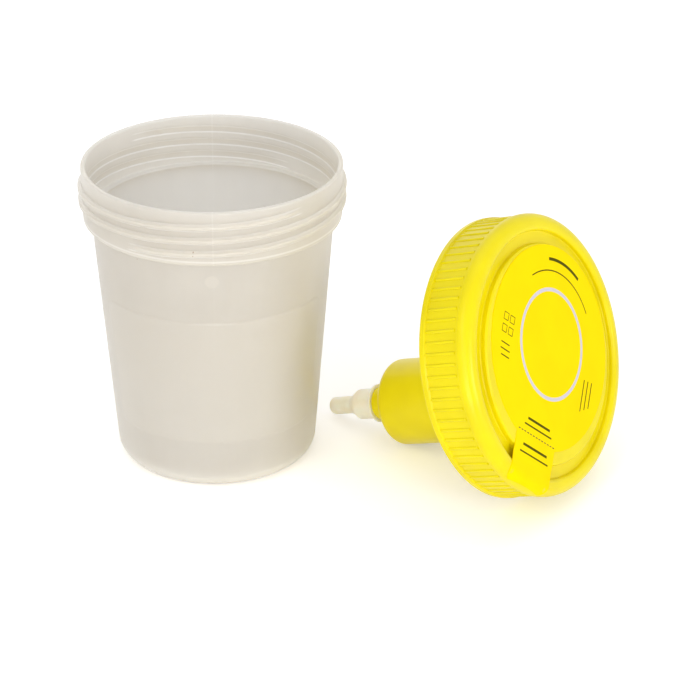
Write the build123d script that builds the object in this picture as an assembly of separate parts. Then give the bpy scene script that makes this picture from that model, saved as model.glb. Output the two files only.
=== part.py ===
"""Specimen cup with its screw lid taken off and lying beside it.

Millimetres, +Z up. The cup stands on its foot ring at the origin. The lid is modelled about its
own axis, face up with the top of the face at height 0, and is then laid down on two points: the
edge of its skirt and the bottom edge of its tube well.
"""
from build123d import *
import math
import os

# --- cup ---
cup_height = 82.6
rim_radius = 34.0
neck_depth = 14.6
neck_taper = 0.2
rim_wall = 1.3
rim_rounding = 0.5
body_top_radius = 31.7
body_foot_radius = 26.6
body_wall = 1.1
shoulder_thickness = 1.3
shoulder_rounding = 0.5
heel_radius = 4.1
heel_inner_rounding = 1.9
floor_thickness = 1.3
foot_recess = 0.9
foot_ring_width = 2.6
foot_slope = 0.6

# --- write-on panel on the front of the cup ---
panel_foot = 14.4
panel_head = 50.4
panel_middle = -86.5
panel_span = 130.0
panel_rounding = 4.0
panel_height = 0.16
panel_root_sink = 0.3

# --- two-start screw thread of the mouth ---
thread_starts = 2
thread_spacing = 3.6
thread_turns = 1.23
thread_height = 1.0
thread_root_width = 1.8
thread_crest_width = 0.8
thread_root_sink = 0.35
thread_end_below_rim = 11.9
thread_end_angle = 53.0

# --- lid ---
lid_height = 15.0
skirt_clearance = 0.3
skirt_wall = 0.9
band_depth = 0.6
band_slope = 0.3
rim_band_height = 3.5
edge_band_height = 1.6
edge_rounding = 0.5
crown_rounding = 3.1
crown_inner_rounding = 1.1
groove_width = 3.4
groove_depth = 1.8
groove_outer_radius = 32.2
disc_rounding = 0.6
plate_thickness = 1.4
plug_clearance = 0.25
plug_wall = 1.1
plug_depth = 2.8
plug_rounding = 0.35
lid_thread_share = 0.8
rib_count = 80
rib_width = 1.0
rib_crest_width = 0.5
rib_height = 0.45
rib_root_sink = 0.3
rib_end_gap = 0.3

# --- tube well in the lid ---
well_offset = 12.1
well_radius = 11.75
well_wall = 1.2
well_depth = 53.6
well_bottom_thickness = 1.3
well_bottom_rounding = 2.2
well_mouth_chamfer = 0.5
boss_radius = 4.55
boss_length = 6.7
boss_wall = 1.55

# --- inlet spout, needle and its rubber sleeve ---
spout_reach = 77.0
spout_radius = 2.45
spout_tip_rounding = 1.2
spout_bore_radius = 0.9
hub_clearance = 0.05
hub_flange_radius = 5.3
hub_flange_thickness = 0.7
hub_flange_rounding = 0.3
barrel_radius = 4.2
barrel_rounding = 0.5
barrel_length = 5.9
cone_length = 2.6
bead_overhang = 0.6
bead_height = 1.1
stem_radius = 1.9
stem_height = 2.9
needle_radius = 0.45
needle_bore_radius = 0.25
needle_length = 40.7
needle_socket_depth = 1.7
needle_bevel = 2.4
sleeve_wall = 0.8
sleeve_clearance = 0.3
sleeve_tip_thickness = 1.8
sleeve_base_wall = 1.0
sleeve_shoulder_height = 0.5
sleeve_tip_rounding = 1.2

# --- label over the well ---
film_thickness = 0.15
label_radius = 26.9
label_offset = 1.7
tab_width = 17.8
tab_reach = 36.0
tab_corner_radius = 2.5
tab_angle = -146.0
tab_wrap_angle = 75.0

# --- how the lid lies beside the cup ---
lid_face_x = 87.6
lid_face_y = -24.0
spout_heading = 147.0
lid_roll = 13.0

# --- edges ---
smallest_arc = 2.0
bevel_share = 0.6

# --- sizes that follow ---
neck_foot_z = cup_height - neck_depth
neck_foot_radius = rim_radius - neck_taper
mouth_radius = rim_radius - rim_wall
ledge_z = neck_foot_z + shoulder_thickness
floor_z = foot_recess + floor_thickness
body_slope = (body_top_radius - body_foot_radius) / neck_foot_z
thread_crest_radius = rim_radius + thread_height
thread_lead = thread_spacing * thread_starts
thread_rise = thread_lead * thread_turns
skirt_bore = thread_crest_radius + skirt_clearance
band_radius = skirt_bore + skirt_wall
lid_radius = band_radius + band_depth
skirt_contact_depth = lid_height - edge_rounding * bevel_share
plate_underside = -(groove_depth + plate_thickness)
disc_radius = groove_outer_radius - groove_width
disc_underside = -plate_thickness
crown_radius = lid_radius - crown_rounding
bore_radius = boss_radius - boss_wall
boss_end = -(well_depth + boss_length)
well_floor = -(well_depth - well_bottom_thickness)
bead_top = well_floor + bead_height
stem_top = bead_top + stem_height
flange_end = boss_end - hub_flange_thickness
barrel_end = flange_end - barrel_length
cone_end = barrel_end - cone_length
socket_end = boss_end - needle_socket_depth
needle_tip = socket_end + needle_length


def eased(corners):
    """Corners with each small rounding cut as a straight bevel, which keeps the surface light."""
    result = []
    for index, (radius, height, rounding) in enumerate(corners):
        if rounding == 0 or rounding >= smallest_arc:
            result.append((radius, height, rounding))
            continue
        corner = Vector(radius, height)
        neighbours = corners[index - 1], corners[(index + 1) % len(corners)]
        for next_radius, next_height, _ in neighbours:
            towards = (Vector(next_radius, next_height) - corner).normalized()
            bevelled = corner + towards * rounding * bevel_share
            result.append((bevelled.X, bevelled.Y, 0))
    return result


def turned(corners):
    """Solid of revolution about Z from (radius, height, corner rounding) corners."""
    corners = eased(corners)
    points = [(radius, height) for radius, height, _ in corners]
    roundings = [rounding for _, _, rounding in corners]
    return revolve(Plane.XZ * make_face(FilletPolyline(*points, radius=roundings, close=True)), Axis.Z)


def wall_radius(height):
    """Outside radius of the tapered cup wall at a height."""
    return body_foot_radius + body_slope * height


def thread_rib(radius, start_angle, start_z, height):
    """One start of a screw thread, standing out from a cylinder (negative height: inwards)."""
    side = math.copysign(1.0, height)
    section = Polyline(
        (-side * thread_root_sink, -thread_root_width / 2),
        (height, -thread_crest_width / 2),
        (height, thread_crest_width / 2),
        (-side * thread_root_sink, thread_root_width / 2),
        close=True,
    )
    path = Helix(thread_lead, thread_rise, radius)
    profile = Plane(origin=(radius, 0, 0), x_dir=(1, 0, 0), z_dir=(0, -1, 0)) * make_face(section)
    return Pos(0, 0, start_z) * Rot(0, 0, start_angle) * sweep(profile, path=path, is_frenet=True)


def thread(radius, start_z, height):
    """All starts of a screw thread, evenly spaced round the axis."""
    turn = 360.0 / thread_starts
    return [thread_rib(radius, thread_end_angle + turn * i, start_z, height) for i in range(thread_starts)]


def panel_trim(side, end):
    """Block round one corner of the panel, hollowed so that it leaves the corner's rounding.

    side is -1 or 1 for the corner's place round the cup, and end is -1 or 1 for foot or head.
    """
    edge_z = panel_head if end > 0 else panel_foot
    depth = 4 * body_wall
    block = Box(depth, 2 * panel_rounding, 2 * panel_rounding)
    kept = Rot(0, 90, 0) * Cylinder(panel_rounding, depth)
    trim = block - Pos(0, -side * panel_rounding, -end * panel_rounding) * kept
    return Rot(0, 0, side * panel_span / 2) * Pos(wall_radius(edge_z), 0, edge_z) * trim


def writing_panel():
    """Slightly raised panel with rounded corners, wrapped round the front of the cup's wall."""
    section = Polyline(
        (wall_radius(panel_foot) - panel_root_sink, panel_foot),
        (wall_radius(panel_foot) + panel_height, panel_foot),
        (wall_radius(panel_head) + panel_height, panel_head),
        (wall_radius(panel_head) - panel_root_sink, panel_head),
        close=True,
    )
    plate = Rot(0, 0, -panel_span / 2) * revolve(Plane.XZ * make_face(section), Axis.Z, panel_span)
    trims = [panel_trim(side, end) for side in (-1, 1) for end in (-1, 1)]
    return Rot(0, 0, panel_middle) * (plate - trims)


def make_cup():
    """Tapered cup with a stepped, threaded neck, a write-on panel and a recessed foot."""
    foot_inner_radius = body_foot_radius - heel_radius - foot_ring_width
    shell = turned([
        (0, foot_recess, 0),
        (foot_inner_radius - foot_slope, foot_recess, 0),
        (foot_inner_radius, 0, 0),
        (body_foot_radius, 0, heel_radius),
        (body_top_radius, neck_foot_z, 0),
        (neck_foot_radius, neck_foot_z, shoulder_rounding),
        (rim_radius, cup_height, rim_rounding),
        (mouth_radius, cup_height, rim_rounding),
        (neck_foot_radius - rim_wall, ledge_z, 0),
        (wall_radius(ledge_z) - body_wall, ledge_z, shoulder_rounding),
        (wall_radius(floor_z) - body_wall, floor_z, heel_inner_rounding),
        (0, floor_z, 0),
    ])
    threads = thread(rim_radius - neck_taper / 2, cup_height - thread_end_below_rim, thread_height)
    return shell + writing_panel() + threads


def lid_crown():
    """Turned part of the lid: plate, raised disc, groove, crown, skirt and plug seal."""
    plug_radius = mouth_radius - plug_clearance
    band_top = -rim_band_height
    band_bottom = edge_band_height - lid_height
    return turned([
        (0, 0, 0),
        (disc_radius, 0, disc_rounding),
        (disc_radius, -groove_depth, 0),
        (groove_outer_radius, -groove_depth, 0),
        (groove_outer_radius, 0, crown_inner_rounding),
        (lid_radius, 0, crown_rounding),
        (lid_radius, band_top, 0),
        (band_radius, band_top - band_slope, 0),
        (band_radius, band_bottom + band_slope, 0),
        (lid_radius, band_bottom, 0),
        (lid_radius, -lid_height, edge_rounding),
        (skirt_bore, -lid_height, edge_rounding),
        (skirt_bore, plate_underside, 0),
        (plug_radius, plate_underside, 0),
        (plug_radius, plate_underside - plug_depth, plug_rounding),
        (plug_radius - plug_wall, plate_underside - plug_depth, 0),
        (plug_radius - plug_wall, plate_underside, 0),
        (disc_radius - plate_thickness, plate_underside, 0),
        (disc_radius - plate_thickness, disc_underside, 0),
        (0, disc_underside, 0),
    ])


def grip_ribs():
    """Fine upright ribs round the skirt, between the crown and the edge band."""
    foot = edge_band_height + band_slope + rib_end_gap - lid_height
    head = -rim_band_height - band_slope - rib_end_gap
    section = Polyline(
        (band_radius - rib_root_sink, -rib_width / 2),
        (band_radius + rib_height, -rib_crest_width / 2),
        (band_radius + rib_height, rib_crest_width / 2),
        (band_radius - rib_root_sink, rib_width / 2),
        close=True,
    )
    rib = Pos(0, 0, foot) * extrude(make_face(section), head - foot)
    return [Rot(0, 0, 360.0 * i / rib_count) * rib for i in range(rib_count)]


def at_well(shape):
    """Move a shape from the lid's axis to the well's axis."""
    return Pos(0, -well_offset, 0) * shape


def make_lid_shell():
    """Lid moulding: crown, ribs, inside thread and the deep off-centre tube well."""
    well_outside = at_well(turned([
        (0, disc_underside / 2, 0),
        (well_radius, disc_underside / 2, 0),
        (well_radius, -well_depth, well_bottom_rounding),
        (boss_radius, -well_depth, 0),
        (boss_radius, boss_end, 0),
        (0, boss_end, 0),
    ]))
    inside_radius = well_radius - well_wall
    flare = inside_radius + well_mouth_chamfer
    well_inside = at_well(turned([
        (0, plate_thickness, 0),
        (flare, plate_thickness, 0),
        (flare, 0, 0),
        (inside_radius, -well_mouth_chamfer, 0),
        (inside_radius, well_floor, well_bottom_rounding - well_wall),
        (bore_radius, well_floor, 0),
        (bore_radius, boss_end - plate_thickness, 0),
        (0, boss_end - plate_thickness, 0),
    ]))
    thread_z = plate_underside - thread_end_below_rim + thread_spacing / 2
    shell = lid_crown() + grip_ribs() + well_outside - well_inside
    return shell + thread(skirt_bore, thread_z, -thread_height * lid_thread_share)


def make_needle_hub():
    """Inlet spout: barrel, cone and tip outside the well, with the stem that holds the needle inside."""
    hub_radius = bore_radius - hub_clearance
    return at_well(turned([
        (needle_radius, stem_top, 0),
        (stem_radius, stem_top, 0),
        (stem_radius, bead_top, 0),
        (bore_radius + bead_overhang, bead_top, 0),
        (bore_radius + bead_overhang, well_floor, 0),
        (hub_radius, well_floor, 0),
        (hub_radius, boss_end, 0),
        (hub_flange_radius, boss_end, 0),
        (hub_flange_radius, flange_end, hub_flange_rounding),
        (barrel_radius, flange_end, 0),
        (barrel_radius, barrel_end, barrel_rounding),
        (spout_radius, cone_end, barrel_rounding),
        (spout_radius, -spout_reach, spout_tip_rounding),
        (spout_bore_radius, -spout_reach, 0),
        (spout_bore_radius, socket_end, 0),
        (needle_radius, socket_end, 0),
    ]))


def make_needle():
    """Steel needle, bevelled at the end that pierces a tube's stopper."""
    tube = turned([
        (needle_bore_radius, socket_end, 0),
        (needle_radius, socket_end, 0),
        (needle_radius, needle_tip, 0),
        (needle_bore_radius, needle_tip, 0),
    ])
    slope = math.degrees(math.atan2(needle_bevel, 2 * needle_radius))
    cutter = Pos(-needle_radius, 0, needle_tip) * Rot(0, slope, 0) * Box(
        3 * needle_bevel, 3 * needle_bevel, 3 * needle_bevel, align=(Align.MIN, Align.CENTER, Align.MIN))
    return at_well(tube - cutter)


def make_needle_sleeve():
    """Closed rubber sleeve over the needle, pushed onto the stem of the hub."""
    cavity_radius = needle_radius + sleeve_clearance
    outside_radius = cavity_radius + sleeve_wall
    base_radius = stem_radius + sleeve_base_wall
    top = needle_tip + sleeve_clearance + sleeve_tip_thickness
    return at_well(turned([
        (0, top, 0),
        (outside_radius, top, sleeve_tip_rounding),
        (outside_radius, stem_top + sleeve_base_wall + sleeve_shoulder_height, 0),
        (base_radius, stem_top + sleeve_base_wall, 0),
        (base_radius, bead_top, 0),
        (stem_radius, bead_top, 0),
        (stem_radius, stem_top, 0),
        (cavity_radius, stem_top, 0),
        (cavity_radius, needle_tip + sleeve_clearance, 0),
        (0, needle_tip + sleeve_clearance, 0),
    ]))


def crown_point(reach, angle):
    """Point at a distance from the centre of the crown's rounding, at an angle from straight up."""
    return crown_radius + reach * math.sin(angle), reach * math.cos(angle) - crown_rounding


def crown_skin():
    """Film that follows the top of the lid from its axis over the crown, all the way round."""
    outer = crown_rounding + film_thickness
    end = math.radians(tab_wrap_angle)
    profile = Polyline((0, 0), (0, film_thickness), (crown_radius, film_thickness))
    profile += ThreePointArc(
        (crown_radius, film_thickness), crown_point(outer, end / 2), crown_point(outer, end))
    profile += Line(crown_point(outer, end), crown_point(crown_rounding, end))
    profile += ThreePointArc(
        crown_point(crown_rounding, end), crown_point(crown_rounding, end / 2), (crown_radius, 0))
    profile += Line((crown_radius, 0), (0, 0))
    return revolve(Plane.XZ * make_face(profile), Axis.Z)


def make_label():
    """Round film over the well, with a pull tab that bridges the groove and folds over the crown."""
    angle = math.radians(tab_angle)
    disc = Pos(-label_offset * math.cos(angle), -label_offset * math.sin(angle), 0) * Cylinder(
        label_radius, film_thickness, align=(Align.CENTER, Align.CENTER, Align.MIN))
    strip = FilletPolyline(
        (0, -tab_width / 2), (tab_reach, -tab_width / 2), (tab_reach, tab_width / 2), (0, tab_width / 2),
        radius=[0, tab_corner_radius, tab_corner_radius, 0], close=True)
    column = Pos(0, 0, -crown_rounding) * extrude(make_face(strip), 2 * crown_rounding)
    return disc + (Rot(0, 0, tab_angle) * column & crown_skin())


def tilt_onto(depth, radius, rounding):
    """Tilt, in radians, at which a rounded edge about the well's axis touches the ground with the skirt."""
    well_drop = well_offset * math.cos(math.radians(lid_roll))
    across = lid_radius - (well_drop + radius - rounding)
    along = (depth - rounding) - skirt_contact_depth
    return math.acos(rounding / math.hypot(across, along)) - math.atan2(along, across)


def lying_tilt():
    """Tilt of the lid's axis, in radians, as it rests on its skirt and on its well or spout."""
    on_well = tilt_onto(well_depth, well_radius, well_bottom_rounding)
    on_spout = tilt_onto(spout_reach, spout_radius, spout_tip_rounding)
    return min(on_well, on_spout)


def lying_place():
    """Location of the lid's own frame: origin at the middle of the face, +Z out of the face."""
    tilt = lying_tilt()
    facing = math.radians(spout_heading + 180.0)
    height = skirt_contact_depth * math.sin(tilt) + lid_radius * math.cos(tilt)
    outward = (math.cos(facing) * math.cos(tilt), math.sin(facing) * math.cos(tilt), math.sin(tilt))
    level = (-math.sin(facing), math.cos(facing), 0)
    frame = Plane(origin=(lid_face_x, lid_face_y, height), x_dir=level, z_dir=outward)
    return frame.location * Rot(0, 0, lid_roll)


lid_place = lying_place()
nodes = {
    "cup": make_cup(),
    "lid_shell": lid_place * make_lid_shell(),
    "needle_hub": lid_place * make_needle_hub(),
    "needle": lid_place * make_needle(),
    "needle_sleeve": lid_place * make_needle_sleeve(),
    "label": lid_place * make_label(),
}

os.makedirs("parts", exist_ok=True)
for name, shape in nodes.items():
    export_step(shape, f"parts/{name}.step")
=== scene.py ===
"""Looks of a specimen cup with its screw lid taken off and lying beside it.

Sizes are in millimetres and are turned to metres when a piece is placed. The cup is built about its
own axis. The lid's pieces are built about the lid's axis, face up, and are then laid down together.
"""
from __future__ import annotations

import logging
import math
from abc import ABC, abstractmethod
from dataclasses import dataclass, field
from enum import Enum
from typing import Any, Callable, Iterator, Optional, Sequence, Union

import bmesh
import bpy
import numpy as np
from mathutils import Euler, Matrix, Vector
from mathutils.geometry import delaunay_2d_cdt

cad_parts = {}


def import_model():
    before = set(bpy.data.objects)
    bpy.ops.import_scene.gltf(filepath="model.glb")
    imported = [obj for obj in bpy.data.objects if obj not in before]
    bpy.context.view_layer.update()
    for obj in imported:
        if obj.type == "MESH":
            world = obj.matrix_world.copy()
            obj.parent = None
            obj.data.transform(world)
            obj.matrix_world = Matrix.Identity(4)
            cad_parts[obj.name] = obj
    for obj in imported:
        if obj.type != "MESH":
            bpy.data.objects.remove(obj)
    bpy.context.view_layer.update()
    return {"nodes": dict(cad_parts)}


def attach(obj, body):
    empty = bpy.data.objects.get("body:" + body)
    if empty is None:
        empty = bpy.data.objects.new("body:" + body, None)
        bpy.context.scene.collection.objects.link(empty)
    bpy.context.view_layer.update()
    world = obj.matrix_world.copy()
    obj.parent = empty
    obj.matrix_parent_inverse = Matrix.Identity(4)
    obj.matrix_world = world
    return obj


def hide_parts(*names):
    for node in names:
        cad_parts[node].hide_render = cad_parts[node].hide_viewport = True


MM = 0.001
TURN = 2.0 * math.pi
CLOUD_LOW = 0.35
CLOUD_HIGH = 0.65
LOG = logging.getLogger("specimen_container")

Corner = tuple[float, float, float]
Triple = tuple[float, float, float]
Point = tuple[float, float]
Colour = tuple[float, float, float]
Operand = Union["Signal", float]


class Body(Enum):
    """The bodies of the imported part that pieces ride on."""

    CUP = "cup"
    LID = "lid"


class Slot(Enum):
    """Names of material slots, handed to each new piece but not used."""

    NATURAL = "natural_plastic"
    YELLOW = "yellow_plastic"
    CREAM = "cream_plastic"
    FILM = "label_film"


# --------------------------------------------------------------------------- node trees


class Signal:
    """A value in a node tree. Arithmetic on it adds Math nodes."""

    def __init__(self, graph: "Graph", socket: bpy.types.NodeSocket) -> None:
        """Wrap a socket of a graph."""
        self.graph = graph
        self.socket = socket

    def __add__(self, other: Operand) -> "Signal":
        """Sum."""
        return self.graph.math("ADD", self, other)

    def __radd__(self, other: Operand) -> "Signal":
        """Sum, reflected."""
        return self.graph.math("ADD", other, self)

    def __sub__(self, other: Operand) -> "Signal":
        """Difference."""
        return self.graph.math("SUBTRACT", self, other)

    def __rsub__(self, other: Operand) -> "Signal":
        """Difference, reflected."""
        return self.graph.math("SUBTRACT", other, self)

    def __mul__(self, other: Operand) -> "Signal":
        """Product."""
        return self.graph.math("MULTIPLY", self, other)

    def __rmul__(self, other: Operand) -> "Signal":
        """Product, reflected."""
        return self.graph.math("MULTIPLY", other, self)

    def __truediv__(self, other: Operand) -> "Signal":
        """Quotient."""
        return self.graph.math("DIVIDE", self, other)

    def __abs__(self) -> "Signal":
        """Absolute value."""
        return self.graph.math("ABSOLUTE", self)


class Graph:
    """A node tree under construction."""

    def __init__(self, tree: bpy.types.NodeTree) -> None:
        """Work on an empty tree."""
        self.tree = tree

    def node(
        self,
        kind: str,
        settings: Optional[dict[str, Any]] = None,
        inputs: Optional[dict[Union[str, int], Any]] = None,
    ) -> bpy.types.Node:
        """Add one node.

        Args:
            kind: Blender's type name of the node.
            settings: Properties of the node, set before its sockets.
            inputs: Values or signals of its input sockets, by name or index.

        Returns:
            The new node.
        """
        node = self.tree.nodes.new(kind)
        for name, value in (settings or {}).items():
            setattr(node, name, value)
        self.feed(node, inputs or {})
        return node

    def feed(self, node: bpy.types.Node, values: dict[Union[str, int], Any]) -> None:
        """Set or link several input sockets of a node.

        Args:
            node: The node.
            values: Values or signals by the name or index of the socket.
        """
        for key, value in values.items():
            if isinstance(value, Signal):
                self.tree.links.new(value.socket, node.inputs[key])
            else:
                node.inputs[key].default_value = value

    def signal(
        self,
        kind: str,
        settings: Optional[dict[str, Any]] = None,
        inputs: Optional[dict[Union[str, int], Any]] = None,
        output: Union[str, int] = 0,
    ) -> Signal:
        """Add one node and give one of its outputs.

        Args:
            kind: Blender's type name of the node.
            settings: Properties of the node.
            inputs: Values or signals of its input sockets.
            output: Name or index of the output wanted.

        Returns:
            The output as a signal.
        """
        return Signal(self, self.node(kind, settings, inputs).outputs[output])

    def math(self, operation: str, *values: Operand) -> Signal:
        """A Math node on the given values."""
        return self.signal("ShaderNodeMath", {"operation": operation}, dict(enumerate(values)))

    def least(self, first: Operand, second: Operand) -> Signal:
        """The smaller of two values."""
        return self.math("MINIMUM", first, second)

    def most(self, first: Operand, second: Operand) -> Signal:
        """The larger of two values."""
        return self.math("MAXIMUM", first, second)

    def length(self, x: Signal, y: Signal) -> Signal:
        """Length of a vector of two parts."""
        return self.math("SQRT", x * x + y * y)

    def ramp(self, value: Operand, low: float, high: float) -> Signal:
        """Smooth rise from 0 to 1 as a value goes from low to high.

        Args:
            value: The value.
            low: Where the rise starts.
            high: Where it ends. It may be below low, and then the rise is a fall.

        Returns:
            The share between 0 and 1.
        """
        settings = {"interpolation_type": "SMOOTHSTEP", "clamp": True}
        inputs = {"Value": value, "From Min": low, "From Max": high, "To Min": 0.0, "To Max": 1.0}
        return self.signal("ShaderNodeMapRange", settings, inputs)

    def mix(self, share: Operand, first: Any, second: Any) -> Signal:
        """Mix two colours.

        Args:
            share: 0 for the first, 1 for the second.
            first: Colour or signal.
            second: Colour or signal.

        Returns:
            The mixed colour.
        """
        settings = {"data_type": "RGBA", "blend_type": "MIX"}
        return self.signal("ShaderNodeMix", settings, {0: share, 6: first, 7: second}, 2)

    def split(self, vector: Signal) -> tuple[Signal, Signal, Signal]:
        """The three parts of a vector."""
        node = self.node("ShaderNodeSeparateXYZ", None, {"Vector": vector})
        return tuple(Signal(self, output) for output in node.outputs)

    def join(self, x: Operand, y: Operand, z: Operand) -> Signal:
        """A vector of three parts."""
        return self.signal("ShaderNodeCombineXYZ", None, {0: x, 1: y, 2: z})

    def noise(self, vector: Signal, scale: float, detail: float = 2.0) -> Signal:
        """Noise between 0 and 1.

        Args:
            vector: Where it is read.
            scale: Bumps in one unit of the vector.
            detail: Octaves of finer noise on top.

        Returns:
            The noise's value.
        """
        return self.signal("ShaderNodeTexNoise", None, {"Vector": vector, "Scale": scale, "Detail": detail})


def fresh_graph(owner: Union[bpy.types.Material, bpy.types.World]) -> Graph:
    """Empty node tree of a material or of the world.

    Args:
        owner: The material or world.

    Returns:
        Its tree, ready to build.
    """
    owner.use_nodes = True
    owner.node_tree.nodes.clear()
    return Graph(owner.node_tree)


def linear(red: int, green: int, blue: int) -> tuple[float, float, float, float]:
    """Linear colour, with full alpha, of a screen colour in 0 to 255.

    Args:
        red: Red on screen.
        green: Green on screen.
        blue: Blue on screen.

    Returns:
        Red, green, blue and alpha for a colour socket.
    """
    shares = [value / 255.0 for value in (red, green, blue)]
    parts = [s / 12.92 if s <= 0.04045 else ((s + 0.055) / 1.055) ** 2.4 for s in shares]
    return (*parts, 1.0)


# --------------------------------------------------------------------------- mesh tools


def rounded_outline(corners: Sequence[Corner], step_degrees: float = 11.0) -> list[Point]:
    """Closed outline with its corners rounded by arcs.

    Args:
        corners: Radius, height and rounding of each corner.
        step_degrees: Largest turn between two points of an arc.

    Returns:
        Radius and height of each point.
    """
    points: list[Point] = []
    for index, (radius, height, rounding) in enumerate(corners):
        here = Vector((radius, height))
        if rounding == 0:
            points.append((radius, height))
            continue
        back = (Vector(corners[index - 1][:2]) - here).normalized()
        ahead = (Vector(corners[(index + 1) % len(corners)][:2]) - here).normalized()
        half = back.angle(ahead) / 2
        centre = here + (back + ahead).normalized() * (rounding / math.sin(half))
        spoke = here + back * (rounding / math.tan(half)) - centre
        sweep = math.copysign(math.pi - 2 * half, -back.cross(ahead))
        steps = max(2, math.ceil(abs(math.degrees(sweep)) / step_degrees))
        for step in range(steps + 1):
            turn = sweep * step / steps
            points.append((
                centre.x + spoke.x * math.cos(turn) - spoke.y * math.sin(turn),
                centre.y + spoke.x * math.sin(turn) + spoke.y * math.cos(turn),
            ))
    return points


def with_rows(points: Sequence[Point], spacing: Callable[[float], float], guard: float = 0.12) -> list[Point]:
    """Outline with extra points, so that flats stay flat and relief has rows to move.

    Args:
        points: The outline.
        spacing: Longest step allowed at a height.
        guard: Distance of the extra point beside each end of a stretch.

    Returns:
        The denser outline.
    """
    result: list[Point] = []
    for (r0, z0), (r1, z1) in zip(points, [*points[1:], points[0]]):
        length = math.hypot(r1 - r0, z1 - z0)
        result.append((r0, z0))
        if length < 4 * guard or max(r0, r1) < 1e-6:
            continue
        shares = [guard / length]
        while shares[-1] < 1 - guard / length:
            step = spacing(z0 + (z1 - z0) * shares[-1])
            shares.append(min(shares[-1] + step / length, 1 - guard / length))
        result.extend((r0 + (r1 - r0) * share, z0 + (z1 - z0) * share) for share in shares)
    return result


def even_angles(count: int) -> list[float]:
    """Angles of evenly spaced columns, in radians."""
    return [TURN * index / count for index in range(count)]


def new_object(name: str, mesh: bpy.types.Mesh) -> bpy.types.Object:
    """Put a mesh in the scene.

    Args:
        name: Name of the object.
        mesh: Its mesh.

    Returns:
        The new object.
    """
    item = bpy.data.objects.new(name, mesh)
    bpy.context.scene.collection.objects.link(item)
    return item


def lathe(
    name: str,
    outline: Sequence[Point],
    angles: Sequence[float],
    relief: Optional[Callable[[float, float], float]] = None,
) -> bpy.types.Object:
    """Closed solid of revolution about Z, in millimetres.

    Args:
        name: Name of the object.
        outline: Closed outline of radius and height.
        angles: Angles of its columns.
        relief: Share of the thread relief that a point of the outline takes.

    Returns:
        The new object.
    """
    area = sum(r0 * z1 - r1 * z0 for (r0, z0), (r1, z1) in zip(outline, [*outline[1:], outline[0]]))
    outline = list(outline) if area > 0 else list(reversed(outline))
    count = len(angles)
    vertices: list[tuple[float, float, float]] = []
    rings: list[list[int]] = []
    shares: list[float] = []
    for radius, height in outline:
        on_axis = radius < 1e-6
        columns = [0.0] if on_axis else angles
        rings.append(list(range(len(vertices), len(vertices) + len(columns))))
        vertices.extend((radius * math.cos(a), radius * math.sin(a), height) for a in columns)
        shares.extend([relief(radius, height) if relief else 0.0] * len(columns))
    faces: list[tuple[int, ...]] = []
    for lower, upper in zip(rings, [*rings[1:], rings[0]]):
        for k in range(count):
            n = (k + 1) % count
            if len(lower) > 1 and len(upper) > 1:
                faces.append((lower[k], lower[n], upper[n], upper[k]))
            elif len(lower) > 1:
                faces.append((lower[k], lower[n], upper[0]))
            elif len(upper) > 1:
                faces.append((lower[0], upper[n], upper[k]))
    mesh = bpy.data.meshes.new(name)
    mesh.from_pydata(vertices, [], faces)
    mesh.attributes.new("relief", "FLOAT", "POINT").data.foreach_set("value", shares)
    return new_object(name, mesh)


def settled(item: bpy.types.Object) -> bpy.types.Object:
    """Apply an object's modifiers and leave a plain mesh.

    Args:
        item: The object with modifiers.

    Returns:
        The same object.
    """
    depsgraph = bpy.context.evaluated_depsgraph_get()
    mesh = bpy.data.meshes.new_from_object(item.evaluated_get(depsgraph), depsgraph=depsgraph)
    item.modifiers.clear()
    old = item.data
    item.data = mesh
    bpy.data.meshes.remove(old)
    mesh.name = item.name
    return item


def combine(item: bpy.types.Object, other: bpy.types.Object, operation: str) -> None:
    """Join or cut a solid with another, which is used up.

    Args:
        item: The solid that stays.
        other: The solid that is joined to it or cut from it.
        operation: UNION or DIFFERENCE.
    """
    modifier = item.modifiers.new(operation, "BOOLEAN")
    modifier.operation = operation
    modifier.solver = "EXACT"
    modifier.object = other
    settled(item)
    bpy.data.objects.remove(other)


def shade(mesh: bpy.types.Mesh, sharp_degrees: float = 32.0) -> None:
    """Smooth shading with sharp edges kept, on merged, outward faces.

    Args:
        mesh: The mesh.
        sharp_degrees: Turn between two faces above which their edge is sharp.
    """
    work = bmesh.new()
    work.from_mesh(mesh)
    bmesh.ops.remove_doubles(work, verts=work.verts, dist=1e-4)
    bmesh.ops.recalc_face_normals(work, faces=work.faces)
    if work.calc_volume(signed=True) < 0:
        bmesh.ops.reverse_faces(work, faces=work.faces)
    for face in work.faces:
        face.smooth = True
    for edge in work.edges:
        edge.smooth = len(edge.link_faces) == 2 and edge.calc_face_angle() < math.radians(sharp_degrees)
    work.to_mesh(mesh)
    work.free()


def finish_piece(
    item: bpy.types.Object,
    place: Matrix,
    material: bpy.types.Material,
    body: Body,
    slot: Slot,
    nodes: Sequence[str] = (),
) -> bpy.types.Object:
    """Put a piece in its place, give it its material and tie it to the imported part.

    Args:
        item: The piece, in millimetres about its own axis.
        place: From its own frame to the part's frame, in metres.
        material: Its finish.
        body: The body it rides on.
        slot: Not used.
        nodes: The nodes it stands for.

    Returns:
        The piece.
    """
    shade(item.data)
    item.data.transform(place)
    relief = item.data.attributes.get("relief")
    if relief is not None:
        item.data.attributes.remove(relief)
    item.data.materials.clear()
    item.data.materials.append(material)
    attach(item, body.value)
    if nodes:
        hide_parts(*nodes)
    LOG.info("%s: %d faces on body %s", item.name, len(item.data.polygons), body.value)
    return item


# --------------------------------------------------------------------------- geometry nodes


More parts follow.
